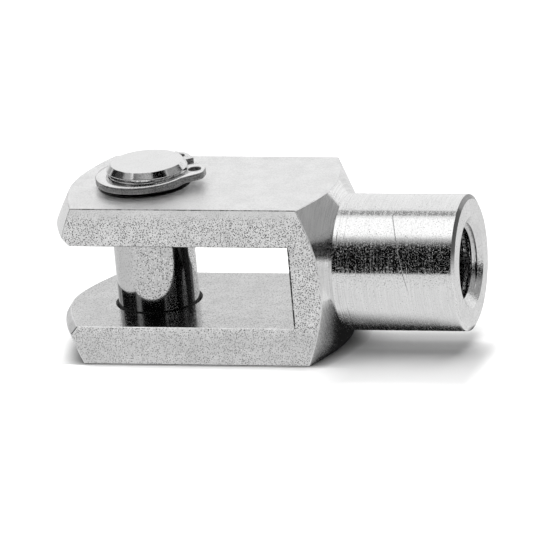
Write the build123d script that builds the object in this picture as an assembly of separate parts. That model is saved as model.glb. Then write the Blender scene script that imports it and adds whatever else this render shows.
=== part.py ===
from build123d import *
from math import cos, hypot, radians, sin, sqrt, tan
import os

# Clevis rod end: a fork turned and milled from square bar, a pin through its two
# cheeks and a retaining ring on the pin. Millimetres. X runs along the neck to the
# threaded end, Z along the pin to the ring, and the origin is on the pin's axis,
# half way between the cheeks.

# Fork
bar_size = 24.0               # side of the square bar
slot_width = 12.4             # between the cheeks
slot_reach = 23.9             # pin axis to the slot's floor
mouth_chamfer = 1.3           # on the slot's two front edges
tip_reach = 14.35             # pin axis to the turned tip, level with the slot's edges
tip_slope = 24.7              # of the tip there, degrees from a plane across the axis
tip_radius = 94.0             # of the tip's slight crown
neck_reach = 48.0             # pin axis to the end of the neck
neck_length = 18.3
neck_diameter = 20.0
neck_end_drop = 0.7           # chamfer at the end of the neck, across
neck_end_depth = 0.4          # and along
shoulder_slope = 30.0         # turned shoulder, degrees from a plane across the axis
edge_break = 0.12             # on the milled and turned outer edges

# Thread in the neck, as its plain core: the thread itself is too fine for a solid
thread_diameter = 12.0
thread_pitch = 1.25
thread_mouth = 13.4           # countersink at the neck's end
core_fraction = 1.0825        # thread's depth on the diameter, in pitches

# Pin
pin_diameter = 11.94
pin_clearance = 0.055         # between the pin and its bores, on the radius
bore_chamfer = 0.4            # on the bores' edges
pin_lip = 0.45                # plain length between the groove and the chamfer
pin_end_drop = 0.65           # chamfer at the pin's upper end, across
pin_end_depth = 0.9           # and along
head_diameter = 15.0          # flat head let into the lower cheek
head_thickness = 1.6
head_chamfer = 0.3
head_side_gap = 0.3           # round the head, on the radius
head_seat_gap = 0.1           # above the head
head_recess = 0.05            # the head stands back from the underside

# Retaining ring, for a 12 mm shaft
ring_thickness = 1.0
ring_lift = 0.75              # above the upper cheek, on the pin's axis
ring_tilt = 1.5               # lugs up, within the groove's play, degrees
ring_outer_diameter = 14.3
ring_offset = 0.55            # of the outer circle from the pin's axis, away from the gap
ring_edge_break = 0.08
ring_gap = 2.4                # between the two lugs
ring_direction = 36.0         # of the gap from +X, degrees
groove_depth = 0.22
groove_width = 1.4
ring_seat_gap = 0.04          # between the ring and the groove's floor
lug_reach = 7.75              # pin axis to a lug's end, along the gap
lug_hole_reach = 6.1          # plier hole, along the gap
lug_hole_side = 3.55          # and across from its middle
lug_hole_diameter = 1.9
lug_end_radius = 1.65         # outer end, round the plier hole
lug_flank = 5.95              # outer flank, across from the gap's middle
lug_flank_radius = 1.4        # corner between the flank and the end
lug_flank_reach = 5.75        # centre of that corner, along the gap
lug_gap_radius = 0.25         # corner between the end and the gap
lug_foot_angle = 58.0         # where the flank leaves the ring, degrees from the gap

cut_margin = 1.0              # cutters run this far past the faces they cut

half_bar = bar_size / 2
half_slot = slot_width / 2
neck_radius = neck_diameter / 2
neck_root = neck_reach - neck_length
bar_corner = hypot(half_bar, half_bar)
pin_radius = pin_diameter / 2
bore_radius = pin_radius + pin_clearance
thread_core_radius = (thread_diameter - core_fraction * thread_pitch) / 2
head_radius = head_diameter / 2
head_bottom = -half_bar + head_recess
head_top = head_bottom + head_thickness
counterbore_top = head_top + head_seat_gap
ring_middle = half_bar + ring_lift + ring_thickness / 2
groove_bottom = ring_middle - groove_width / 2
groove_top = ring_middle + groove_width / 2
groove_radius = pin_radius - groove_depth
ring_inner_radius = groove_radius + ring_seat_gap
pin_top = groove_top + pin_lip + pin_end_depth


def turned(outline, axis):
    """A solid turned about axis from the edges of a closed outline."""
    return revolve(make_face(outline), axis, 360)


def disc_cut(radius, bottom, top):
    """A round cutter along the pin's axis."""
    return Pos(0, 0, bottom) * extrude(Circle(radius), top - bottom)


def cone_cut(wide, narrow, start, end):
    """A conical cutter along the pin's axis, wide at start and narrow at end."""
    corners = ((0, start), (wide, start), (narrow, end), (0, end))
    return revolve(Plane.XZ * make_face(Polyline(*corners, close=True)), Axis.Z, 360)


def make_fork():
    # The turned outline is as wide as the bar's corners between tip and shoulder.
    envelope = bar_corner + cut_margin
    slope = radians(tip_slope)
    crown_x = tip_radius * cos(slope) - tip_reach
    crown_side = tip_radius * sin(slope) - half_slot
    tip_nose, tip_mid, tip_edge = [
        (crown_x - sqrt(tip_radius**2 - (radius + crown_side) ** 2), radius)
        for radius in (0, envelope / 2, envelope)
    ]
    shoulder_top = neck_root - (envelope - neck_radius) * tan(radians(shoulder_slope))
    outline = [
        ThreePointArc(tip_nose, tip_mid, tip_edge),
        Polyline(
            tip_edge,
            (shoulder_top, envelope),
            (neck_root, neck_radius),
            (neck_reach - neck_end_depth, neck_radius),
            (neck_reach, neck_radius - neck_end_drop),
            (neck_reach, 0),
            tip_nose,
        ),
    ]
    nose_reach = -tip_nose[0]
    length = nose_reach + neck_reach
    bar = Pos((neck_reach - nose_reach) / 2, 0, 0) * Box(length, bar_size, bar_size)
    fork = bar & turned(outline, Axis.X)

    slot_length = slot_reach + nose_reach + cut_margin
    slot = Box(slot_length, bar_size + 2 * cut_margin, slot_width)
    fork -= Pos(slot_reach - slot_length / 2, 0, 0) * slot
    mouth = [
        edge
        for edge in fork.edges().filter_by(GeomType.LINE, reverse=True)
        if edge.center().X < 0 and abs(edge.center().Z) < half_slot + mouth_chamfer
    ]
    fork = chamfer(mouth, mouth_chamfer)
    inside_bar = half_bar - edge_break
    outer = [
        edge
        for edge in fork.edges()
        if edge.center().X < 0
        or abs(edge.center().Y) > inside_bar
        or abs(edge.center().Z) > inside_bar
    ]
    fork = chamfer(outer, edge_break)

    bottom = -half_bar - cut_margin
    fork -= disc_cut(bore_radius, bottom, half_bar + cut_margin)
    wide = bore_radius + bore_chamfer
    for face, inward in ((half_bar, -1), (half_slot, 1), (-half_slot, -1)):
        fork -= cone_cut(wide, bore_radius, face, face + inward * bore_chamfer)
    fork -= disc_cut(head_radius + head_side_gap, bottom, counterbore_top)

    mouth_radius = thread_mouth / 2
    cone_start = neck_reach - (mouth_radius - thread_core_radius)
    thread = Polyline(
        (slot_reach - cut_margin, 0),
        (slot_reach - cut_margin, thread_core_radius),
        (cone_start, thread_core_radius),
        (neck_reach, mouth_radius),
        (neck_reach + cut_margin, mouth_radius),
        (neck_reach + cut_margin, 0),
        close=True,
    )
    return fork - turned(thread, Axis.X)


def make_pin():
    outline = Polyline(
        (0, head_bottom),
        (head_radius - head_chamfer, head_bottom),
        (head_radius, head_bottom + head_chamfer),
        (head_radius, head_top),
        (pin_radius, head_top),
        (pin_radius, groove_bottom),
        (groove_radius, groove_bottom),
        (groove_radius, groove_top),
        (pin_radius, groove_top),
        (pin_radius, pin_top - pin_end_depth),
        (pin_radius - pin_end_drop, pin_top),
        (0, pin_top),
        close=True,
    )
    return revolve(Plane.XZ * make_face(outline), Axis.Z, 360)


def make_ring():
    # Drawn level with its gap along +X, then turned to the gap's direction and tilted.
    outer_radius = ring_outer_diameter / 2
    outer = Pos(-ring_offset, 0) * Circle(outer_radius)
    half_gap = ring_gap / 2
    gap_corner_y = half_gap + lug_gap_radius
    foot_angle = radians(lug_foot_angle)
    foot_radius = (outer_radius - ring_inner_radius) / 2
    foot_x = -ring_offset + (outer_radius - foot_radius) * cos(foot_angle)
    foot_y = (outer_radius - foot_radius) * sin(foot_angle)
    corners = (
        (lug_hole_reach, lug_hole_side, lug_end_radius),
        (lug_flank_reach, lug_flank - lug_flank_radius, lug_flank_radius),
        (lug_reach - lug_gap_radius, gap_corner_y, lug_gap_radius),
        (ring_inner_radius, gap_corner_y, lug_gap_radius),
        (foot_x, foot_y, foot_radius),
    )
    circles = [Pos(x, y) * Circle(radius) for x, y, radius in corners]
    lug = make_hull([edge for circle in circles for edge in circle.edges()])
    outline = outer + lug + mirror(lug, Plane.XZ)
    outline -= Circle(ring_inner_radius)
    outline -= Pos(lug_reach, 0) * Rectangle(2 * lug_reach, ring_gap)
    for side in (-1, 1):
        hole = Pos(lug_hole_reach, side * lug_hole_side) * Circle(lug_hole_diameter / 2)
        outline -= hole
    level = Pos(0, 0, -ring_thickness / 2) * extrude(outline, ring_thickness)
    upright = level.edges().filter_by(Axis.Z)
    level = chamfer(level.edges() - upright, ring_edge_break)
    tilted = Rot(0, 0, ring_direction) * Rot(0, -ring_tilt, 0) * level
    return Pos(0, 0, ring_middle) * tilted


nodes = {
    "clevis_fork": make_fork(),
    "clevis_pin": make_pin(),
    "retaining_ring": make_ring(),
}
os.makedirs("parts", exist_ok=True)
for name, solid in nodes.items():
    export_step(solid, f"parts/{name}.step")
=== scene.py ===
from math import asin, atan2, cos, degrees, hypot, pi, radians, sin, sqrt

import bmesh
import bpy
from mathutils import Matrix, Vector


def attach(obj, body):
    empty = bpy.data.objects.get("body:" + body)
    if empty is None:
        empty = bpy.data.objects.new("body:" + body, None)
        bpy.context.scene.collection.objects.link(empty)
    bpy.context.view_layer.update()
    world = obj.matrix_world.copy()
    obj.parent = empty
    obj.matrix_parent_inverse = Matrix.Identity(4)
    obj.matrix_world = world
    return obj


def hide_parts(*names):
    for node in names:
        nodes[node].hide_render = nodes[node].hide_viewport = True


# Clevis rod end. Metres, with the origin on the pin's axis between the cheeks,
# X along the neck and Z up the pin. Sizes in the dictionaries are in mm.
mm = 0.001
sharpAngle = radians(30)  # an edge that turns further than this stays sharp

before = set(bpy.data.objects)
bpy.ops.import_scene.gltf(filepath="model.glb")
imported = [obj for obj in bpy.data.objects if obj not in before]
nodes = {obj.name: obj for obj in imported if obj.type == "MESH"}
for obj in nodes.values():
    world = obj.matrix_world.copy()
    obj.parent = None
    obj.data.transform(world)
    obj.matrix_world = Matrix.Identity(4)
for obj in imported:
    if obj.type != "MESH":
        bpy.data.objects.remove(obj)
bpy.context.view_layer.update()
scene = bpy.context.scene
scene.view_settings.view_transform = "Standard"
scene.cycles.blur_glossy = 0.0  # a reflection in a reflection stays sharp
print("frame loaded:", sorted(nodes))


def addNode(tree, kind, **sockets):
    node = tree.nodes.new(kind)
    for name, value in sockets.items():
        node.inputs[name].default_value = value
    return node


def mathNode(tree, operation, first, second=None, third=None):
    node = tree.nodes.new("ShaderNodeMath")
    node.operation = operation
    for index, value in enumerate((first, second, third)):
        if value is None:
            continue
        if isinstance(value, (int, float)):
            node.inputs[index].default_value = value
        else:
            tree.links.new(value, node.inputs[index])
    return node.outputs[0]


def times(tree, first, second):
    return mathNode(tree, "MULTIPLY", first, second)


def distance(tree, value, place):
    return mathNode(tree, "ABSOLUTE", mathNode(tree, "SUBTRACT", value, place))


def fade(tree, value, start, end, low=0.0, high=1.0):
    node = tree.nodes.new("ShaderNodeMapRange")
    node.interpolation_type = "SMOOTHSTEP"
    tree.links.new(value, node.inputs["Value"])
    node.inputs["From Min"].default_value = start
    node.inputs["From Max"].default_value = end
    node.inputs["To Min"].default_value = low
    node.inputs["To Max"].default_value = high
    return node.outputs["Result"]


def fadePlace(tree, value, places, low=0.0, high=1.0):
    # the same between two places in mm
    start, end = places
    return fade(tree, value, start * mm, end * mm, low, high)


def dimmed(tree, mask, share):
    # 1 outside the mask, and share where the mask is full
    return fade(tree, mask, 0.0, 1.0, 1.0, share)


def scaledPlace(tree, vector, scale, shift):
    mapping = tree.nodes.new("ShaderNodeMapping")
    mapping.inputs["Scale"].default_value = scale
    mapping.inputs["Location"].default_value = (shift, shift * 1.7, shift * 0.6)
    tree.links.new(vector, mapping.inputs["Vector"])
    return mapping.outputs["Vector"]


def noise(tree, vector, cell, stretch=(1, 1, 1), detail=2.0, roughness=0.55, shift=0.0):
    # cell is the size of one in mm, stretch makes it longer along an axis,
    # and shift keeps one pattern apart from the others
    node = addNode(tree, "ShaderNodeTexNoise", Scale=1.0, Detail=detail, Roughness=roughness)
    place = scaledPlace(tree, vector, [1 / (cell * mm * s) for s in stretch], shift)
    tree.links.new(place, node.inputs["Vector"])
    return node.outputs["Fac"]


def dots(tree, vector, cell, start, full, shift):
    # scattered round dots: cell is their spacing in mm, start and full are shares of it
    node = addNode(tree, "ShaderNodeTexVoronoi", Scale=1.0, Randomness=1.0)
    place = scaledPlace(tree, vector, [1 / (cell * mm)] * 3, shift)
    tree.links.new(place, node.inputs["Vector"])
    return fade(tree, node.outputs["Distance"], start, full)


def greyColour(tree, value):
    colour = addNode(tree, "ShaderNodeCombineColor")
    for channel in ("Red", "Green", "Blue"):
        tree.links.new(value, colour.inputs[channel])
    return colour.outputs["Color"]


def axes(tree, place):
    split = tree.nodes.new("ShaderNodeSeparateXYZ")
    tree.links.new(place, split.inputs["Vector"])
    return split.outputs


def emptyMaterial(name):
    material = bpy.data.materials.new(name)
    material.use_nodes = True
    tree = material.node_tree
    tree.nodes.clear()
    return material, tree, addNode(tree, "ShaderNodeOutputMaterial")


def addObject(name, data):
    piece = bpy.data.objects.new(name, data)
    scene.collection.objects.link(piece)
    return piece


def addMaterials(mesh, names):
    for name in names:
        mesh.materials.append(bpy.data.materials[name])


def evaluatedMesh(piece):
    bpy.context.view_layer.update()
    graph = bpy.context.evaluated_depsgraph_get()
    return bpy.data.meshes.new_from_object(piece.evaluated_get(graph))


# tone: how light the bare steel is, with mottle as its share of slow change.
# rough: how blurred its reflections are, with streakRough more of it in the streaks.
# grain, streak: cell sizes in mm, with their depths; streaks run along the tool's path.
# specks: pits or bright scuffs of one cell size, between two levels of the noise.
# sparkle: painted glints, bright dots as cell, start, full and gain; the specks are then dots too.
forkFinishes = {
    "grainedSide": dict(
        tone=0.75, rough=0.22, mottle=0.03, grain=0.16, grainDepth=0.02,
        streak=2.4, streakAlong=(1, 1, 1), streakDepth=0.05, streakTone=0.0,
        sparkle=(0.21, 0.40, 0.15, 1.38),
        specks=dict(cell=0.22, start=0.40, full=0.22, tone=0.05, rough=0.1, depth=0.02)),
    "drawnFlat": dict(
        tone=0.865, rough=0.36, mottle=0.01, grain=0.35, grainDepth=0.006,
        streak=0.7, streakAlong=(4, 1, 1), streakDepth=0.004, streakTone=0.012,
        specks=dict(cell=0.20, start=0.60, full=0.40, tone=0.93, rough=0.16, depth=0.0)),
    "milledSlot": dict(
        tone=0.565, rough=0.08, mottle=0.06, grain=0.30, grainDepth=0.01,
        streak=0.9, streakAlong=(3, 1, 1), streakDepth=0.012, streakTone=0.03,
        specks=dict(cell=0.21, start=0.5, full=0.3, tone=0.50, rough=0.1, depth=0.01)),
    # painted shade: the slot's end wall is nearly black
    "slotEndShade": dict(
        tone=0.05, rough=0.16, mottle=0.04, grain=0.30, grainDepth=0.01,
        streak=0.3, streakAlong=(1, 8, 1), streakDepth=0.012, streakTone=0.05,
        specks=dict(cell=0.24, start=0.5, full=0.3, tone=0.80, rough=0.1, depth=0.01)),
    "turnedNeck": dict(
        tone=0.80, rough=0.05, mottle=0.02, grain=0.30, grainDepth=0.004,
        streak=0.13, streakAlong=(1, 50, 50), streakDepth=0.008, streakTone=0.07,
        streakRough=0.25,
        specks=dict(cell=0.17, start=0.52, full=0.66, tone=0.96, rough=0.38, depth=0.0)),
    "turnedCone": dict(
        tone=0.83, rough=0.05, mottle=0.02, grain=0.30, grainDepth=0.002,
        streak=0.15, streakAlong=(1, 30, 30), streakDepth=0.004, streakTone=0.08,
        specks=dict(cell=0.19, start=0.50, full=0.62, tone=0.95, rough=0.2, depth=0.0)),
    "turnedTip": dict(
        tone=0.79, rough=0.16, mottle=0.02, grain=0.30, grainDepth=0.012,
        streak=0.2, streakAlong=(1, 12, 12), streakDepth=0.012, streakTone=0.03,
        specks=dict(cell=0.22, start=0.5, full=0.62, tone=0.95, rough=0.1, depth=0.0)),
    "facedEnd": dict(
        tone=0.78, rough=0.18, mottle=0.03, grain=0.22, grainDepth=0.02,
        streak=0.5, streakAlong=(1, 1, 1), streakDepth=0.02, streakTone=0.02,
        specks=dict(cell=0.20, start=0.47, full=0.3, tone=0.8, rough=0.1, depth=0.01)),
    "neckRim": dict(
        tone=0.83, rough=0.12, mottle=0.03, grain=0.20, grainDepth=0.002,
        streak=0.15, streakAlong=(1, 30, 30), streakDepth=0.004, streakTone=0.08,
        specks=dict(cell=0.19, start=0.50, full=0.36, tone=0.8, rough=0.1, depth=0.0)),
    "brokenEdge": dict(
        tone=0.80, rough=0.34, mottle=0.05, grain=0.25, grainDepth=0.015,
        streak=1.7, streakAlong=(1, 1, 1), streakDepth=0.04, streakTone=0.05,
        specks=dict(cell=0.16, start=0.52, full=0.34, tone=0.8, rough=0.1, depth=0.0)),
    # painted shade: the top front edge and the slot's end edge are darker than the other broken edges
    "shadedEdge": dict(
        tone=0.70, rough=0.34, mottle=0.05, grain=0.25, grainDepth=0.015,
        streak=1.9, streakAlong=(1, 1, 1), streakDepth=0.03, streakTone=0.05,
        specks=dict(cell=0.16, start=0.52, full=0.34, tone=0.8, rough=0.1, depth=0.0)),
    # painted shade: the pin's bore is nearly black
    "boredHoleShade": dict(
        tone=0.06, rough=0.20, mottle=0.03, grain=0.2, grainDepth=0.012,
        streak=0.1, streakAlong=(30, 30, 1), streakDepth=0.012, streakTone=0.05,
        specks=dict(cell=0.2, start=0.5, full=0.3, tone=0.8, rough=0.1, depth=0.0)),
    # painted shade: the bore's chamfers show as a black gap round the pin
    "holeEdgeShade": dict(
        tone=0.04, rough=0.40, mottle=0.03, grain=0.2, grainDepth=0.012,
        streak=0.1, streakAlong=(30, 30, 1), streakDepth=0.006, streakTone=0.05,
        specks=dict(cell=0.2, start=0.5, full=0.3, tone=0.8, rough=0.1, depth=0.0)),
    "cutThread": dict(
        tone=0.62, rough=0.13, mottle=0.04, grain=0.2, grainDepth=0.012,
        streak=0.08, streakAlong=(1, 20, 20), streakDepth=0.008, streakTone=0.08,
        specks=dict(cell=0.2, start=0.5, full=0.3, tone=0.8, rough=0.1, depth=0.0)),
}


# Slow and fast changes that every finish has. A pair of levels is where a change starts in the
# noise and where it is full.
steelNoise = dict(cloudCell=3.5, cloudLevels=(0.3, 0.7), streakLevels=(0.3, 0.7),
                  blurLevels=(0.45, 0.75), roughChange=0.15)


def spanAbout(middle, change):
    # the two ends of a range that reaches the same share to either side
    return middle * (1 - change), middle * (1 + change)


def steel(name, look, addMarks=None):
    _, tree, output = emptyMaterial(name)
    shader = addNode(tree, "ShaderNodeBsdfPrincipled", Metallic=1.0)
    tree.links.new(shader.outputs["BSDF"], output.inputs["Surface"])
    place = tree.nodes.new("ShaderNodeTexCoord").outputs["Object"]

    grain = noise(tree, place, look["grain"], detail=3.0, roughness=0.6)
    streak = noise(tree, place, look["streak"], look["streakAlong"], shift=3.1)
    cloud = noise(tree, place, steelNoise["cloudCell"], detail=3.0, shift=7.7)
    speck, sparkle = look["specks"], look.get("sparkle")
    if sparkle:
        pits = dots(tree, place, speck["cell"], speck["start"], speck["full"], 5.5)
    else:
        spots = noise(tree, place, speck["cell"], detail=1.0, shift=5.5)
        pits = fade(tree, spots, speck["start"], speck["full"])

    height = times(tree, grain, look["grainDepth"])
    low, high = steelNoise["cloudLevels"]
    parts = dict(
        pits=pits,
        height=mathNode(tree, "MULTIPLY_ADD", streak, look["streakDepth"], height),
        tone=fade(tree, cloud, low, high, *spanAbout(look["tone"], look["mottle"])),
        rough=fade(tree, cloud, high, low, *spanAbout(look["rough"], steelNoise["roughChange"])))
    if "streakRough" in look:
        blur = fade(tree, streak, *steelNoise["blurLevels"], 0.0, look["streakRough"])
        parts["rough"] = mathNode(tree, "ADD", parts["rough"], blur)
    if look["streakTone"]:
        lines = fade(tree, streak, *steelNoise["streakLevels"], *spanAbout(1, look["streakTone"]))
        parts["tone"] = times(tree, parts["tone"], lines)
    if sparkle:
        cell, start, full, gain = sparkle
        parts["bright"] = dots(tree, place, cell, start, full, 9.3)
    if addMarks:
        addMarks(tree, place, parts)
    # painted glints lighten the tone in the bright dots
    if sparkle:
        parts["tone"] = times(tree, parts["tone"], dimmed(tree, parts["bright"], gain))
    darker = mathNode(tree, "MULTIPLY_ADD", parts["pits"], speck["tone"] - 1, 1.0)
    tone = times(tree, parts["tone"], darker)
    rough = mathNode(tree, "MULTIPLY_ADD", parts["pits"], speck["rough"], parts["rough"])
    height = mathNode(tree, "MULTIPLY_ADD", parts["pits"], -speck["depth"], parts["height"])

    tree.links.new(greyColour(tree, tone), shader.inputs["Base Color"])
    tree.links.new(rough, shader.inputs["Roughness"])
    bump = addNode(tree, "ShaderNodeBump", Strength=1.0, Distance=mm)
    tree.links.new(height, bump.inputs["Height"])
    tree.links.new(bump.outputs["Normal"], shader.inputs["Normal"])


# M12 x 1.25. start also sets where the crests of the thread come out.
threadCut = dict(majorRadius=6.0, coreRadius=5.3234, mouthRadius=6.7, pitch=1.25, start=20.88,
                 turns=24.0, stepsPerTurn=48)
# neckGrooves: place along the neck, width and depth of each
forkSizes = dict(
    halfBar=12.0, halfSlot=6.2, slotReach=23.9, tipReach=14.35, tipSlope=24.7, tipRadius=94.0,
    neckRoot=29.7, neckReach=48.0, neckRadius=10.0, shoulderSlope=30.0, endDrop=0.7, endDepth=0.4,
    headBore=7.8,
    neckGrooves=((30.32, 0.20, 0.035), (30.72, 0.14, 0.02), (31.38, 0.16, 0.025)))
tipTurn = radians(forkSizes["tipSlope"])
forkSizes["crownX"] = forkSizes["tipRadius"] * cos(tipTurn) - forkSizes["tipReach"]
forkSizes["crownSide"] = forkSizes["tipRadius"] * sin(tipTurn) - forkSizes["halfSlot"]
sinkDepth = threadCut["mouthRadius"] - threadCut["coreRadius"]
forkSizes["sinkStart"] = forkSizes["neckReach"] - sinkDepth


def spiralSweepTree():
    # sweeps a profile along a spiral, with named inputs for its sizes
    tree = bpy.data.node_groups.new("threadCutterTree", "GeometryNodeTree")
    sockets = tree.interface
    sockets.new_socket("Geometry", in_out="INPUT", socket_type="NodeSocketGeometry")
    kinds = dict(Pitch="Float", Turns="Float", Radius="Float", Steps="Int",
                 Profile="Object", Material="Material")
    keys = {}
    for label, kind in kinds.items():
        socket = sockets.new_socket(label, in_out="INPUT", socket_type="NodeSocket" + kind)
        keys[label] = socket.identifier
    sockets.new_socket("Geometry", in_out="OUTPUT", socket_type="NodeSocketGeometry")
    link = tree.links.new
    enter = tree.nodes.new("NodeGroupInput")
    leave = tree.nodes.new("NodeGroupOutput")
    spiral = tree.nodes.new("GeometryNodeCurveSpiral")
    height = times(tree, enter.outputs["Pitch"], enter.outputs["Turns"])
    link(enter.outputs["Steps"], spiral.inputs["Resolution"])
    link(enter.outputs["Turns"], spiral.inputs["Rotations"])
    link(enter.outputs["Radius"], spiral.inputs["Start Radius"])
    link(enter.outputs["Radius"], spiral.inputs["End Radius"])
    link(height, spiral.inputs["Height"])
    upright = tree.nodes.new("GeometryNodeSetCurveNormal")
    upright.mode = "Z_UP"
    link(spiral.outputs["Curve"], upright.inputs["Curve"])
    shape = tree.nodes.new("GeometryNodeObjectInfo")
    link(enter.outputs["Profile"], shape.inputs["Object"])
    sweep = tree.nodes.new("GeometryNodeCurveToMesh")
    sweep.inputs["Fill Caps"].default_value = True
    link(upright.outputs["Curve"], sweep.inputs["Curve"])
    link(shape.outputs["Geometry"], sweep.inputs["Profile Curve"])
    real = tree.nodes.new("GeometryNodeRealizeInstances")
    link(sweep.outputs["Mesh"], real.inputs["Geometry"])
    paint = tree.nodes.new("GeometryNodeSetMaterial")
    link(real.outputs["Geometry"], paint.inputs["Geometry"])
    link(enter.outputs["Material"], paint.inputs["Material"])
    link(paint.outputs["Geometry"], leave.inputs["Geometry"])
    return tree, keys


def grooveProfile(size):
    # one groove of the thread: three quarters of the pitch wide at the core and an eighth
    # at its bottom, carried a little into the bore so that it cuts clean through the wall
    reach = size["majorRadius"] - size["coreRadius"]
    inside, wide, narrow = 0.35, size["pitch"] * 0.375, size["pitch"] / 16
    half = [(inside, wide), (0, wide), (-reach, narrow)]
    corners = [(out, -along) for out, along in half] + half[::-1]
    curve = bpy.data.curves.new("threadProfile", "CURVE")
    spline = curve.splines.new("POLY")
    spline.points.add(len(corners) - 1)
    for point, (out, along) in zip(spline.points, corners):
        point.co = (out * mm, along * mm, 0, 1)
    spline.use_cyclic_u = True
    return addObject("threadProfile", curve)


def threadCutter(size):
    tree, keys = spiralSweepTree()
    profile = grooveProfile(size)
    holder = addObject("threadCutter", bpy.data.meshes.new("threadCutter"))
    modifier = holder.modifiers.new("thread", "NODES")
    modifier.node_group = tree
    values = dict(Pitch=size["pitch"] * mm, Turns=size["turns"], Radius=size["coreRadius"] * mm,
                  Steps=size["stepsPerTurn"], Profile=profile,
                  Material=bpy.data.materials["cutThread"])
    for label, value in values.items():
        modifier[keys[label]] = value
    mesh = evaluatedMesh(holder)
    holder.modifiers.remove(modifier)
    bpy.data.objects.remove(profile)
    # the spiral climbs +Z, so it is laid along +X
    for vertex in mesh.vertices:
        x, y, z = vertex.co
        vertex.co = (size["start"] * mm + z, x, y)
    build = bmesh.new()
    build.from_mesh(mesh)
    bmesh.ops.remove_doubles(build, verts=build.verts, dist=1e-7)
    bmesh.ops.recalc_face_normals(build, faces=build.faces)
    build.to_mesh(mesh)
    build.free()
    holder.data = mesh
    return holder


def mergedCopy(name, node):
    # the CAD mesh is loose triangles, so its copy is merged before anything else
    mesh = nodes[node].data.copy()
    mesh.name = name
    mesh.materials.clear()
    build = bmesh.new()
    build.from_mesh(mesh)
    bmesh.ops.remove_doubles(build, verts=build.verts, dist=2e-7)
    bmesh.ops.dissolve_degenerate(build, edges=build.edges, dist=1e-7)
    build.to_mesh(mesh)
    build.free()
    if mesh.has_custom_normals:
        mesh.normals_split_custom_set([(0, 0, 0)] * len(mesh.loops))
    return addObject(name, mesh)


def forkZone(centre, normal, size):
    # which finish a face of the fork has, from where it is and which way it looks
    x, y, z = centre
    around, fromPin = hypot(y, z), hypot(x, y)
    bar, slot, floor, end = size["halfBar"], size["halfSlot"], size["slotReach"], size["neckReach"]
    near, hair = 0.02, 0.005   # how far off a plane or an end still counts as on it
    margin, strip = 0.1, 0.2   # round a bore and the neck, and beside a broken edge
    level, slopeNear = 0.9995, 0.012   # what a normal's part has to reach, or be near
    onNeck = around > size["neckRadius"] - size["endDrop"] - margin
    inPinBore = fromPin < size["headBore"] + margin
    if around < threadCut["mouthRadius"] + margin and floor + hair < x < end - hair:
        sunk = x > size["sinkStart"] - hair and abs(normal.x - sqrt(0.5)) < slopeNear
        return "countersink" if sunk else "cutThread"
    if abs(normal.y) > level and abs(abs(y) - bar) < near:
        return "grainedSide"
    if abs(normal.z) > level and abs(abs(z) - bar) < near:
        return "drawnFlat"
    if abs(normal.z) > level and abs(abs(z) - slot) < near:
        return "milledSlot"
    if normal.x < -level and abs(x - floor) < near:
        return "slotEndShade"
    if normal.x > level and abs(x - end) < near:
        return "facedEnd"
    if onNeck and x > size["neckRoot"] - hair:
        return "turnedNeck" if x < end - size["endDepth"] - hair else "neckChamfer"
    if inPinBore:
        upright = abs(normal.z)
        return "boredHoleShade" if upright < 0.3 else "boreChamfer" if upright < 0.9 else "brokenEdge"
    if x > floor and abs(normal.x - cos(radians(size["shoulderSlope"]))) < slopeNear:
        return "turnedCone"
    fromCrown = hypot(x - size["crownX"], around + size["crownSide"])
    if x < 0 and abs(fromCrown - size["tipRadius"]) < near:
        return "turnedTip"
    if y < strip - bar and (z > bar - strip or (abs(x - floor) < strip and abs(z) < slot)):
        return "shadedEdge"
    return "brokenEdge"


# zones that have another zone's finish
zoneFinish = dict(countersink="facedEnd", neckChamfer="neckRim", boreChamfer="holeEdgeShade")


def trueNormal(zone, normal, point, size):
    # rounds what is round: a corner's normal turns with its place on the surface
    x, y, z = point
    if zone == "turnedTip":
        spread = 1 + size["crownSide"] / hypot(y, z)
        return Vector((x - size["crownX"], y * spread, z * spread)).normalized()
    if zone in ("turnedNeck", "turnedCone", "neckChamfer", "countersink"):
        # the flanks of the neck's grooves keep their own slope
        slope = dict(turnedCone=cos(radians(size["shoulderSlope"])), countersink=sqrt(0.5),
                     neckChamfer=size["endDrop"] / hypot(size["endDrop"], size["endDepth"]),
                     turnedNeck=normal.x if abs(normal.x) > 0.02 else 0.0)[zone]
        around = Vector((0, y, z)).normalized() * (-1 if zone == "countersink" else 1)
        return around * sqrt(1 - slope**2) + Vector((slope, 0, 0))
    if zone in ("boredHoleShade", "boreChamfer"):
        slope = 0.0 if zone == "boredHoleShade" else sqrt(0.5) * (1 if normal.z > 0 else -1)
        return Vector((x, y, 0)).normalized() * -sqrt(1 - slope**2) + Vector((0, 0, slope))
    return normal


def turnGrooves(build, size):
    # fine grooves that the tool left round the neck near its root
    radius = size["neckRadius"]

    def onNeck(vertex):
        x, y, z = vertex.co
        return abs(hypot(y, z) / mm - radius) < 0.06 and x / mm > size["neckRoot"] - 0.001

    for place, width, depth in size["neckGrooves"]:
        for cutAt in (place - width / 2, place, place + width / 2):
            faces = [f for f in build.faces if all(onNeck(v) for v in f.verts)]
            edges = {e for f in faces for e in f.edges}
            verts = {v for f in faces for v in f.verts}
            bmesh.ops.bisect_plane(build, geom=[*verts, *edges, *faces], dist=1e-8,
                                   plane_co=(cutAt * mm, 0, 0), plane_no=(1, 0, 0))
        for vertex in build.verts:
            if abs(vertex.co.x / mm - place) < 1e-4 and onNeck(vertex):
                vertex.co.y *= 1 - depth / radius
                vertex.co.z *= 1 - depth / radius
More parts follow.
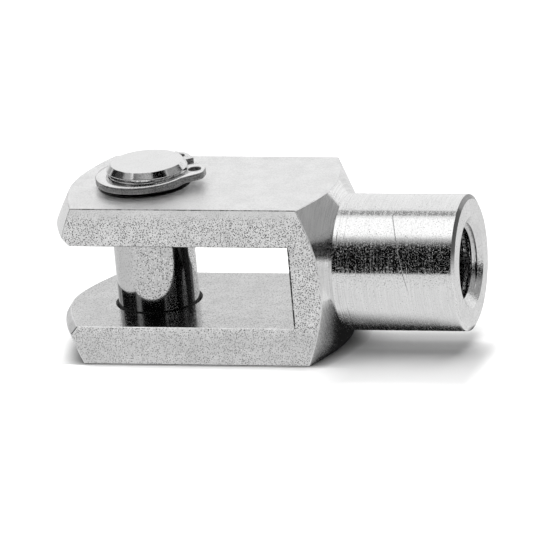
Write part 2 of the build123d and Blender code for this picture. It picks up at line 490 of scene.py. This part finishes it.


# Wear and painted shade on the fork. A pair of places or levels runs from where a mark starts to
# where it is full, tone and rough say what it does to the steel, and depth is what it takes off.
forkMarks = dict(
    # the scratch comes nearer to the bar with the angle round the neck, 0 in front and 90 on
    # top, and bows in waves, so many to a turn
    scratch=dict(middle=40.77, perRadian=-2.51, bow=0.10, bowWaves=2.4, side=(0.085, 0.02),
                 lower=(-14, 0), upper=(78, 60), depth=0.03, rough=0.35, tone=0.75),
    nicks=dict(cell=0.5, levels=(0.74, 0.80), depth=0.03),
    grooveShade=dict(height=(-4.5, -8), side=(0.75, 0.3), tone=0.42),  # side in widths
    # pits and painted glints thin out low on the sides and along their top edge
    sidePits=dict(low=(-5.5, -8), lowShare=0.6, edge=(11.7, 9.6), edgeShare=0.15),
    sideCloud=dict(cell=1.1, change=0.05, lowTone=0.90),
    slotEdgeShade=dict(place=24.06, side=(0.15, 0.08), height=(6.4, 6.1), cell=0.6,
                  levels=(0.40, 0.52), least=0.35, tone=0.08),
    ringShade=dict(middle=(-0.445, -0.323), radius=(7.05, 6.65), height=(11, 11.9), tone=0.05),
    # dents: place across, height and radius of each
    dents=dict(spots=((3.0, 4.91, 0.16), (4.64, 2.77, 0.2)), flat=0.3, depth=0.12),
    edgeShadeLine=dict(cell=0.7, levels=(0.46, 0.58), upper=(0.42, 0.14), inner=(0.10, 0.01),
                  height=(7, 6.4)),
    rimShade=dict(height=(1, 4.5), tone=0.30),
    threadShade=dict(along=(32, 45), tone=0.08))


def neckMarks(tree, place, parts):
    # one long scratch that runs aslant round the neck, and a few nicks
    x, y, z = axes(tree, place)
    mark = forkMarks["scratch"]
    turn = mathNode(tree, "ARCTAN2", z, times(tree, y, -1.0))
    bow = mathNode(tree, "SINE", times(tree, turn, mark["bowWaves"]))
    line = mathNode(tree, "MULTIPLY_ADD", turn, mark["perRadian"] * mm, mark["middle"] * mm)
    line = mathNode(tree, "MULTIPLY_ADD", bow, mark["bow"] * mm, line)
    scratch = fadePlace(tree, distance(tree, x, line), mark["side"])
    lower, upper = [fade(tree, turn, *map(radians, mark[end])) for end in ("lower", "upper")]
    scratch = times(tree, scratch, times(tree, lower, upper))
    nick = forkMarks["nicks"]
    nicks = fade(tree, noise(tree, place, nick["cell"], detail=1.0, shift=11.3), *nick["levels"])
    for mask, depth in ((scratch, mark["depth"]), (nicks, nick["depth"])):
        parts["height"] = mathNode(tree, "MULTIPLY_ADD", mask, -depth, parts["height"])
    parts["rough"] = mathNode(tree, "MULTIPLY_ADD", scratch, mark["rough"], parts["rough"])
    # painted shade in the tool's grooves, most of it low on the neck
    paintedShade = forkMarks["grooveShade"]
    low = fadePlace(tree, z, paintedShade["height"])
    for groove, width, _ in forkSizes["neckGrooves"]:
        beside = distance(tree, x, groove * mm)
        shadeInGroove = times(tree, fadePlace(tree, beside, [share * width for share in paintedShade["side"]]), low)
        parts["tone"] = times(tree, parts["tone"], dimmed(tree, shadeInGroove, paintedShade["tone"]))
    parts["tone"] = times(tree, parts["tone"], dimmed(tree, scratch, mark["tone"]))


def sideMarks(tree, place, parts):
    # painted shade beside the slot's end, ragged like a burr, and the low part is a little darker
    x, _, z = axes(tree, place)
    mark = forkMarks["sidePits"]
    low = fadePlace(tree, z, mark["low"])
    cover = times(tree, dimmed(tree, low, mark["lowShare"]),
                  fadePlace(tree, z, mark["edge"], mark["edgeShare"]))
    for kind in ("pits", "bright"):
        parts[kind] = times(tree, parts[kind], cover)
    shade = forkMarks["sideCloud"]
    cloud = noise(tree, place, shade["cell"], detail=3.0, shift=4.4)
    tone = times(tree, dimmed(tree, low, shade["lowTone"]),
                 fade(tree, cloud, *steelNoise["cloudLevels"], *spanAbout(1, shade["change"])))
    mark = forkMarks["slotEdgeShade"]
    beside = fadePlace(tree, distance(tree, x, mark["place"] * mm), mark["side"])
    beside = times(tree, beside, fadePlace(tree, mathNode(tree, "ABSOLUTE", z), mark["height"]))
    ragged = fade(tree, noise(tree, place, mark["cell"], shift=2.2), *mark["levels"],
                  mark["least"], 1.0)
    slotShade = times(tree, beside, ragged)
    tone = times(tree, tone, dimmed(tree, slotShade, mark["tone"]))
    parts["bright"] = times(tree, parts["bright"], fade(tree, slotShade, 1.0, 0.0))
    parts["tone"] = times(tree, parts["tone"], tone)


def topMarks(tree, place, parts):
    # painted shade under the ring, a dark patch on the top face round the pin
    x, y, z = axes(tree, place)
    mark = forkMarks["ringShade"]
    along, across = mark["middle"]
    x = mathNode(tree, "ADD", x, -along * mm)
    y = mathNode(tree, "ADD", y, -across * mm)
    square = mathNode(tree, "ADD", times(tree, x, x), times(tree, y, y))
    paintedShade = times(tree, fadePlace(tree, mathNode(tree, "SQRT", square), mark["radius"]),
                 fadePlace(tree, z, mark["height"]))
    parts["tone"] = times(tree, parts["tone"], dimmed(tree, paintedShade, mark["tone"]))


def endMarks(tree, place, parts):
    # two small dents beside the thread
    mark = forkMarks["dents"]
    for y, z, radius in mark["spots"]:
        spot = tree.nodes.new("ShaderNodeVectorMath")
        spot.operation = "DISTANCE"
        tree.links.new(place, spot.inputs[0])
        spot.inputs[1].default_value = (forkSizes["neckReach"] * mm, y * mm, z * mm)
        dent = fadePlace(tree, spot.outputs["Value"], (radius, mark["flat"] * radius))
        parts["height"] = mathNode(tree, "MULTIPLY_ADD", dent, -mark["depth"], parts["height"])


def edgeShadeMarks(tree, place, parts):
    # a thin painted dark line along the top edge, painted shade that is ragged like a burr and darker
    # at the slot's end
    z = axes(tree, place)["Z"]
    mark = forkMarks["edgeShadeLine"]
    ragged = fade(tree, noise(tree, place, mark["cell"], shift=2.2), *mark["levels"])
    upper = fade(tree, ragged, 0.0, 1.0, *mark["upper"])
    inner = fade(tree, ragged, 0.0, 1.0, *mark["inner"])
    lower = fadePlace(tree, z, mark["height"])
    gap = mathNode(tree, "SUBTRACT", inner, upper)
    share = mathNode(tree, "MULTIPLY_ADD", gap, lower, upper)
    parts["tone"] = times(tree, parts["tone"], share)


def rimMarks(tree, place, parts):
    # painted shade along the upper half
    mark = forkMarks["rimShade"]
    share = fadePlace(tree, axes(tree, place)["Z"], mark["height"], 1.0, mark["tone"])
    parts["tone"] = times(tree, parts["tone"], share)


def threadMarks(tree, place, parts):
    # painted shade: the deep turns are darker
    mark = forkMarks["threadShade"]
    share = fadePlace(tree, axes(tree, place)["X"], mark["along"], mark["tone"])
    parts["tone"] = times(tree, parts["tone"], share)


zoneMarks = dict(neckRim=rimMarks, cutThread=threadMarks, turnedNeck=neckMarks,
                 grainedSide=sideMarks, drawnFlat=topMarks, facedEnd=endMarks, shadedEdge=edgeShadeMarks)
for zone, look in forkFinishes.items():
    steel(zone, look, zoneMarks.get(zone))

cutter = threadCutter(threadCut)
forkSkin = mergedCopy("forkSkin", "clevis_fork")
cut = forkSkin.modifiers.new("thread", "BOOLEAN")
cut.object = cutter
cut.operation = "DIFFERENCE"
cut.solver = "EXACT"
forkMesh = evaluatedMesh(forkSkin)
forkSkin.modifiers.remove(cut)
forkSkin.data = forkMesh
bpy.data.objects.remove(cutter)
print("fork: thread cut,", len(forkMesh.polygons), "faces")

build = bmesh.new()
build.from_mesh(forkMesh)
bmesh.ops.remove_doubles(build, verts=build.verts, dist=5e-8)
bmesh.ops.dissolve_degenerate(build, edges=build.edges, dist=2e-8)
turnGrooves(build, forkSizes)
build.to_mesh(forkMesh)
build.free()
forkMesh.materials.clear()
finishNames = list(forkFinishes)
addMaterials(forkMesh, finishNames)
zones = []
for polygon in forkMesh.polygons:
    zone = forkZone(polygon.center / mm, polygon.normal, forkSizes)
    zones.append(zone)
    polygon.material_index = finishNames.index(zoneFinish.get(zone, zone))
    polygon.use_smooth = True
forkMesh.set_sharp_from_angle(angle=sharpAngle)
corners = [Vector(c.vector) for c in forkMesh.corner_normals]
for polygon, zone in zip(forkMesh.polygons, zones):
    if zone == "cutThread":
        continue
    for loop in polygon.loop_indices:
        point = forkMesh.vertices[forkMesh.loops[loop].vertex_index].co / mm
        corners[loop] = trueNormal(zone, polygon.normal, point, forkSizes)
forkMesh.normals_split_custom_set(corners)
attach(forkSkin, "fork")
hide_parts("clevis_fork")
print("fork: finishes", {zone: zones.count(zone) for zone in sorted(set(zones))})


# softEdge, grooveEdge: how far a corner is cut back. lipPull, topPull: how near to the corner
# the rounding passes at the chamfer's two ends.
pinSizes = dict(radius=5.97, headRadius=7.5, headBottom=-11.95, headTop=-10.35, headChamfer=0.3,
                grooveRadius=5.75, grooveBottom=12.55, grooveTop=13.95, lipTop=14.40, top=15.30,
                endDrop=0.65, grooveEdge=0.03, softEdge=0.07, lipPull=0.35, topPull=(0.25, 0.28),
                steps=192, smoothAngle=32)
pinFinishes = {
    "groundPin": dict(
        tone=0.63, rough=0.08, mottle=0.03, grain=0.26, grainDepth=0.002,
        streak=0.5, streakAlong=(1, 1, 8), streakDepth=0.001, streakTone=0.02,
        sparkle=(0.30, 0.44, 0.15, 1.45),
        specks=dict(cell=0.28, start=0.47, full=0.18, tone=0.22, rough=0.02, depth=0.001)),
    "facedPin": dict(
        tone=0.765, rough=0.16, mottle=0.02, grain=0.35, grainDepth=0.003,
        streak=0.8, streakAlong=(1, 1, 1), streakDepth=0.003, streakTone=0.01,
        specks=dict(cell=0.24, start=0.5, full=0.3, tone=0.94, rough=0.05, depth=0.0)),
    "pinChamfer": dict(
        tone=0.74, rough=0.10, mottle=0.04, grain=0.2, grainDepth=0.004,
        streak=0.1, streakAlong=(20, 20, 1), streakDepth=0.004, streakTone=0.06,
        specks=dict(cell=0.20, start=0.5, full=0.3, tone=0.8, rough=0.1, depth=0.0)),
}
# The pin is worn smoother on one side, with fewer painted glints and a darker tone there, full at the
# first place along x and none at the second.
pinWearAndGlint = dict(pits=((-3.0, 0.5), 0.35), bright=((-3.0, 0.5), 0.3), tone=((-4.5, -1.0), 0.91))


def pinMarks(tree, place, parts):
    x = axes(tree, place)["X"]
    for kind, (places, share) in pinWearAndGlint.items():
        parts[kind] = times(tree, parts[kind], fadePlace(tree, x, places, share))


for zone, look in pinFinishes.items():
    steel(zone, look, pinMarks if zone == "groundPin" else None)


def pinProfile(size):
    # outline from the axis round to the axis, with a finish for the run that ends at each point
    r, soft, cutBack = size["radius"], size["softEdge"], size["grooveEdge"]
    top, lip = size["top"], size["lipTop"]
    low, high = size["grooveBottom"], size["grooveTop"]
    endR = r - size["endDrop"]
    length = hypot(top - lip, size["endDrop"])
    dz, dr = (top - lip) / length * soft, -size["endDrop"] / length * soft
    pullR, pullZ = size["topPull"]
    return [
        (0, size["headBottom"], None),
        (size["headRadius"] - size["headChamfer"], size["headBottom"], "facedPin"),
        (size["headRadius"], size["headBottom"] + size["headChamfer"], "pinChamfer"),
        (size["headRadius"], size["headTop"], "groundPin"),
        (r, size["headTop"], "facedPin"),
        (r, low - cutBack, "groundPin"),
        (r - cutBack, low, "pinChamfer"),
        (size["grooveRadius"], low, "pinChamfer"),
        (size["grooveRadius"], high, "pinChamfer"),
        (r - cutBack, high, "pinChamfer"),
        (r, high + cutBack, "pinChamfer"),
        (r, lip - soft, "groundPin"),
        (r + dr * size["lipPull"], lip, "pinChamfer"),
        (r + dr, lip + dz, "pinChamfer"),
        (endR - dr, top - dz, "pinChamfer"),
        (endR - soft * pullR, top - soft * pullZ, "pinChamfer"),
        (endR - soft, top, "pinChamfer"),
        (0, top, "facedPin"),
    ]


def runNormals(outline, smoothAngle):
    # the normals at both ends of each run: at a soft corner both runs take the longer run's
    runs = []
    for (r0, z0, _), (r1, z1, _) in zip(outline, outline[1:]):
        length = hypot(r1 - r0, z1 - z0)
        runs.append((length, ((z1 - z0) / length, -(r1 - r0) / length)))
    ends = []
    for index, (length, own) in enumerate(runs):
        pair = []
        for other in (index - 1, index + 1):
            chosen = own
            if 0 <= other < len(runs):
                otherLength, normal = runs[other]
                turn = degrees(atan2(abs(own[0] * normal[1] - own[1] * normal[0]),
                                     own[0] * normal[0] + own[1] * normal[1]))
                if turn < smoothAngle and otherLength > length:
                    chosen = normal
            pair.append(chosen)
        ends.append(pair)
    return ends


def turnedPiece(name, outline, steps, smoothAngle):
    mesh = bpy.data.meshes.new(name)
    build = bmesh.new()
    circle = [(cos(2 * pi * i / steps), sin(2 * pi * i / steps)) for i in range(steps)]
    rings = []
    for radius, level, _ in outline:
        places = circle if radius else [(0, 0)]
        rings.append([build.verts.new((radius * c * mm, radius * s * mm, level * mm))
                      for c, s in places])
    used, corners = [], []
    ends = runNormals(outline, smoothAngle)
    for lower, upper, (_, _, zone), (start, end) in zip(rings, rings[1:], outline[1:], ends):
        if zone not in used:
            used.append(zone)
        for i in range(steps):
            j = (i + 1) % steps
            if len(lower) == 1:
                points = ((lower[0], start, i), (upper[j], end, j), (upper[i], end, i))
            elif len(upper) == 1:
                points = ((lower[i], start, i), (lower[j], start, j), (upper[0], end, i))
            else:
                points = ((lower[i], start, i), (lower[j], start, j),
                          (upper[j], end, j), (upper[i], end, i))
            face = build.faces.new([point for point, _, _ in points])
            face.material_index = used.index(zone)
            face.smooth = True
            for _, (out, up), step in points:
                c, s = circle[step]
                corners.append((out * c, out * s, up))
    build.to_mesh(mesh)
    build.free()
    addMaterials(mesh, used)
    mesh.normals_split_custom_set(corners)
    return addObject(name, mesh)


pinSkin = turnedPiece("pinSkin", pinProfile(pinSizes), pinSizes["steps"], pinSizes["smoothAngle"])
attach(pinSkin, "pin")
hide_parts("clevis_pin")
print("pin: turned")


ringFinishes = {
    "ringFlat": dict(
        tone=0.80, rough=0.26, mottle=0.02, grain=0.4, grainDepth=0.003,
        streak=1.2, streakAlong=(1, 1, 1), streakDepth=0.004, streakTone=0.01,
        specks=dict(cell=0.24, start=0.5, full=0.3, tone=0.94, rough=0.05, depth=0.0)),
    # painted shade: the ring's walls are darker than its flats
    "ringWallShade": dict(
        tone=0.42, rough=0.34, mottle=0.10, grain=0.2, grainDepth=0.02,
        streak=0.14, streakAlong=(1, 1, 8), streakDepth=0.01, streakTone=0.1,
        specks=dict(cell=0.20, start=0.52, full=0.36, tone=0.6, rough=0.1, depth=0.02)),
}
for zone, look in ringFinishes.items():
    steel(zone, look)
ringSkin = mergedCopy("ringSkin", "retaining_ring")
ringMesh = ringSkin.data
ringNames = list(ringFinishes)
addMaterials(ringMesh, ringNames)
for polygon in ringMesh.polygons:
    flat = abs(polygon.normal.z) > 0.9
    polygon.material_index = ringNames.index("ringFlat" if flat else "ringWallShade")
    polygon.use_smooth = True
ringMesh.set_sharp_from_angle(angle=sharpAngle)
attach(ringSkin, "pin")
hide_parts("retaining_ring")
print("ring: finished")


# The paper's colour holds painted light: it is lighter by lift in front of the fork and on the open
# floor, over the lamps' shadow, and darker by painted shade past the fork's mouth. A pair of places
# runs from where a change starts to where it is full.
# under: where the neck stands over the paper, painted shade that reflections show dark.
studio = dict(
    floorLevel=-12.0, floorReach=2500.0, tentRadius=1800.0, paperTone=0.95, ambient=0.02,
    contactReach=2.6, lift=1.8, liftEnd=(34.0, 20.0), liftFront=(-12.2, -12.9),
    openFront=(-17.0, -26.0), openEnd=(50.0, 56.0), shade=0.74, shadeEnd=(-7.0, -9.0),
    glossTone=0.82, glossDark=0.01, nearReach=60.0, nearLevels=(0.24, 0.5),
    underRoot=(22.0, 26.0), underEnd=(49.5, 47.0), underSide=(9.5, 0.5))
# The lamps face straight down and light the floor, not the steel. height, wide, deep: metres.
# place: how far along and back the middle of one is, in heights. share: how light it makes
# the open floor.
lamps = dict(
    overheadLamp=dict(height=0.6, place=(-1.04, 0.01), wide=1.92, deep=0.62, share=1.0),
    backLamp=dict(height=0.35, place=(-0.79, 2.87), wide=0.47, deep=0.93, share=0.65))

# Light tent, seen by reflections only, with level 1 where no card hangs. Directions are in
# degrees: round from +X towards +Y, and up from the floor. soft: how far each side fades.
tentCards = dict(
    leftGap=dict(around=(-156, -132), up=(-3, 50), soft=(4, 4, 2, 14), level=0.45),
    leftFlag=dict(around=(158, 222), up=(-3, 32), soft=(6, 4, 4, 10), level=0.005),
    leftFlagTop=dict(around=(158, 204), up=(25, 42), soft=(6, 8, 6, 6), level=0.06),
    frontGap=dict(around=(-140, -122), up=(-3, 34), soft=(4, 4, 2, 10), level=0.30),
    frontFlag=dict(around=(-126, -56), up=(-3, 54), soft=(6, 3, 2, 24), level=0.003),
    cornerFlag=dict(around=(-56, -4), up=(6, 62), soft=(6, 8, 3, 6), level=0.002),
    sideFlag=dict(around=(-2, 49), up=(-3, 52), soft=(6, 1.0, 2, 8), level=0.36),
    sideFlagEdge=dict(around=(31, 49), up=(16, 26), soft=(6, 1.0, 3, 8), level=0.05),
    cornerFlagEnd=dict(around=(-12, 5), up=(7, 25), soft=(3, 4, 2, 5), level=0.002),
    leftWall=dict(around=(134, 154), up=(-3, 30), soft=(30, 6, 4, 14), level=0.42))
# Overhead cards, with their places along and back in heights
roofCards = dict(
    softbox=dict(along=(-1.1, 1.1), back=(-0.57, 0.16), soft=(0.3, 0.3, 0.12, 0.03), level=1.28),
    roofGap=dict(along=(-1.5, 1.5), back=(0.25, 0.48), soft=(0.2, 0.2, 0.06, 0.08), level=0.35))


def softStep(value, edge, width):
    t = min(1.0, max(0.0, (value - edge) / width + 0.5))
    return t * t * (3 - 2 * t)


def softWindow(value, ends, soft):
    return softStep(value, ends[0], soft[0]) * (1 - softStep(value, ends[1], soft[1]))


def tentLevel(direction):
    x, y, z = direction
    level = 1.0
    around = degrees(atan2(y, x))
    up = degrees(asin(max(-1.0, min(1.0, z))))
    if z > 0.4:  # the overhead cards end above this
        for card in roofCards.values():
            mask = softWindow(x / z, card["along"], card["soft"][:2])
            mask *= softWindow(y / z, card["back"], card["soft"][2:])
            level += (card["level"] - level) * mask
    for card in tentCards.values():
        for turn in (around, around + 360):
            mask = softWindow(turn, card["around"], card["soft"][:2])
            mask *= softWindow(up, card["up"], card["soft"][2:])
            level += (card["level"] - level) * mask
    return level


def stagePiece(name, mesh, material):
    mesh.materials.append(material)
    piece = addObject(name, mesh)
    return piece


def tentDome(radius):
    mesh = bpy.data.meshes.new("lightTent")
    build = bmesh.new()
    # a face for each degree, because the light levels sit on its corners
    bmesh.ops.create_uvsphere(build, u_segments=360, v_segments=180, radius=radius)
    bmesh.ops.reverse_faces(build, faces=build.faces)
    build.to_mesh(mesh)
    build.free()
    glow = mesh.attributes.new("glow", "FLOAT", "POINT")
    glow.data.foreach_set("value", [tentLevel(v.co.normalized()) for v in mesh.vertices])
    material, tree, output = emptyMaterial("tentLight")
    material.cycles.emission_sampling = "NONE"
    light = addNode(tree, "ShaderNodeEmission")
    level = tree.nodes.new("ShaderNodeAttribute")
    level.attribute_name = "glow"
    tree.links.new(level.outputs["Fac"], light.inputs["Strength"])
    tree.links.new(light.outputs["Emission"], output.inputs["Surface"])
    dome = stagePiece("lightTent", mesh, material)
    dome.visible_camera = False
    dome.visible_diffuse = False
    dome.visible_transmission = False
    dome.visible_volume_scatter = False
    dome.visible_shadow = False


def openness(tree, reach):
    # how open the paper is to light from above, within reach
    near = addNode(tree, "ShaderNodeAmbientOcclusion", Distance=reach * mm)
    near.samples = 8
    return near.outputs["AO"]


def paperColour(tree, x, y, size):
    # painted light: lighter close in front of the fork, on the floor before it and past the neck's
    # end, and painted contact shade where the fork is near
    card = times(tree, fadePlace(tree, x, size["liftEnd"]), fadePlace(tree, y, size["liftFront"]))
    for way, places in ((y, size["openFront"]), (x, size["openEnd"])):
        card = mathNode(tree, "MAXIMUM", card, fadePlace(tree, way, places))
    # painted contact shade: the paper is darker where the fork is close
    contact = openness(tree, size["contactReach"])
    paper = size["paperTone"]
    shade = fadePlace(tree, x, size["shadeEnd"], paper, paper * size["shade"])
    extra = mathNode(tree, "SUBTRACT", paper * size["lift"], shade)
    tone = times(tree, mathNode(tree, "MULTIPLY_ADD", card, extra, shade), contact)
    return greyColour(tree, tone)


def paperGlow(tree, x, y, size):
    # in reflections the paper glows evenly white, with painted shade close under the fork and beneath
    # the neck
    close = fade(tree, openness(tree, size["nearReach"]), *size["nearLevels"])
    under = times(tree, fadePlace(tree, x, size["underRoot"]), fadePlace(tree, x, size["underEnd"]))
    under = times(tree, under, fadePlace(tree, mathNode(tree, "ABSOLUTE", y), size["underSide"]))
    bright = mathNode(tree, "MINIMUM", close, dimmed(tree, under, 0.0))
    return fade(tree, bright, 0.0, 1.0, size["glossDark"], size["glossTone"])


def paperFloor(size):
    reach, level = size["floorReach"] * mm, size["floorLevel"] * mm
    sides = ((-reach, -reach), (reach, -reach), (reach, reach), (-reach, reach))
    mesh = bpy.data.meshes.new("floor")
    mesh.from_pydata([(x, y, level) for x, y in sides], [], [(0, 1, 2, 3)])
    material, tree, output = emptyMaterial("paper")
    material.cycles.emission_sampling = "NONE"
    x, y, _ = axes(tree, tree.nodes.new("ShaderNodeTexCoord").outputs["Object"])
    paper = addNode(tree, "ShaderNodeBsdfDiffuse")
    tree.links.new(paperColour(tree, x, y, size), paper.inputs["Color"])
    glow = addNode(tree, "ShaderNodeEmission")
    tree.links.new(paperGlow(tree, x, y, size), glow.inputs["Strength"])
    paths = tree.nodes.new("ShaderNodeLightPath")
    mix = tree.nodes.new("ShaderNodeMixShader")
    tree.links.new(paths.outputs["Is Glossy Ray"], mix.inputs["Fac"])
    tree.links.new(paper.outputs["BSDF"], mix.inputs[1])
    tree.links.new(glow.outputs["Emission"], mix.inputs[2])
    tree.links.new(mix.outputs["Shader"], output.inputs["Surface"])
    stagePiece("floor", mesh, material)


def worldLight(size):
    # white behind everything, and next to no light on the object
    world = bpy.data.worlds.new("studio")
    scene.world = world
    world.use_nodes = True
    tree = world.node_tree
    tree.nodes.clear()
    output = addNode(tree, "ShaderNodeOutputWorld")
    seen, ambient = [
        addNode(tree, "ShaderNodeBackground", Color=(1, 1, 1, 1), Strength=strength)
        for strength in (1.0, size["ambient"])]
    paths = tree.nodes.new("ShaderNodeLightPath")
    direct = mathNode(tree, "MAXIMUM", paths.outputs["Is Camera Ray"], paths.outputs["Is Glossy Ray"])
    direct = mathNode(tree, "MAXIMUM", direct, paths.outputs["Is Transmission Ray"])
    mix = tree.nodes.new("ShaderNodeMixShader")
    tree.links.new(direct, mix.inputs["Fac"])
    tree.links.new(ambient.outputs["Background"], mix.inputs[1])
    tree.links.new(seen.outputs["Background"], mix.inputs[2])
    tree.links.new(mix.outputs["Shader"], output.inputs["Surface"])


def softLamp(name, card):
    data = bpy.data.lights.new(name, "AREA")
    data.shape = "RECTANGLE"
    data.size, data.size_y = card["wide"], card["deep"]
    lamp = addObject(name, data)
    along, back = card["place"]
    lamp.location = (along * card["height"], back * card["height"], card["height"])
    # the power that gives its share at the origin, added up over squares of the lamp
    received, steps = 0.0, 24
    for i in range(steps):
        for j in range(steps):
            spot = lamp.location + Vector((((i + 0.5) / steps - 0.5) * card["wide"],
                                           ((j + 0.5) / steps - 0.5) * card["deep"], 0))
            received += spot.z**2 / spot.length_squared**2
    received /= steps * steps
    data.energy = card["share"] * pi * pi / received
    lamp.visible_glossy = False
    lamp.visible_camera = False


tentDome(studio["tentRadius"] * mm)
paperFloor(studio)
worldLight(studio)
for name, card in lamps.items():
    softLamp(name, card)

# place is in metres, and shift is half a pixel of a frame 533 pixels wide, left and up
view = dict(place=(0.4444136, -1.3659907, 0.4914190), turn=(70.94112424, 4.96470095, 15.66483183),
            sensor=36.0, lens=698.692, shift=0.5 / 533, clipEnd=20.0)
cameraData = bpy.data.cameras.new("camera")
cameraData.sensor_width = view["sensor"]
cameraData.lens = view["lens"]
cameraData.shift_x = -view["shift"]
cameraData.shift_y = view["shift"]
cameraData.clip_end = view["clipEnd"]
camera = addObject("camera", cameraData)
camera.location = view["place"]
camera.rotation_euler = [radians(angle) for angle in view["turn"]]
scene.camera = camera
print("studio: set")
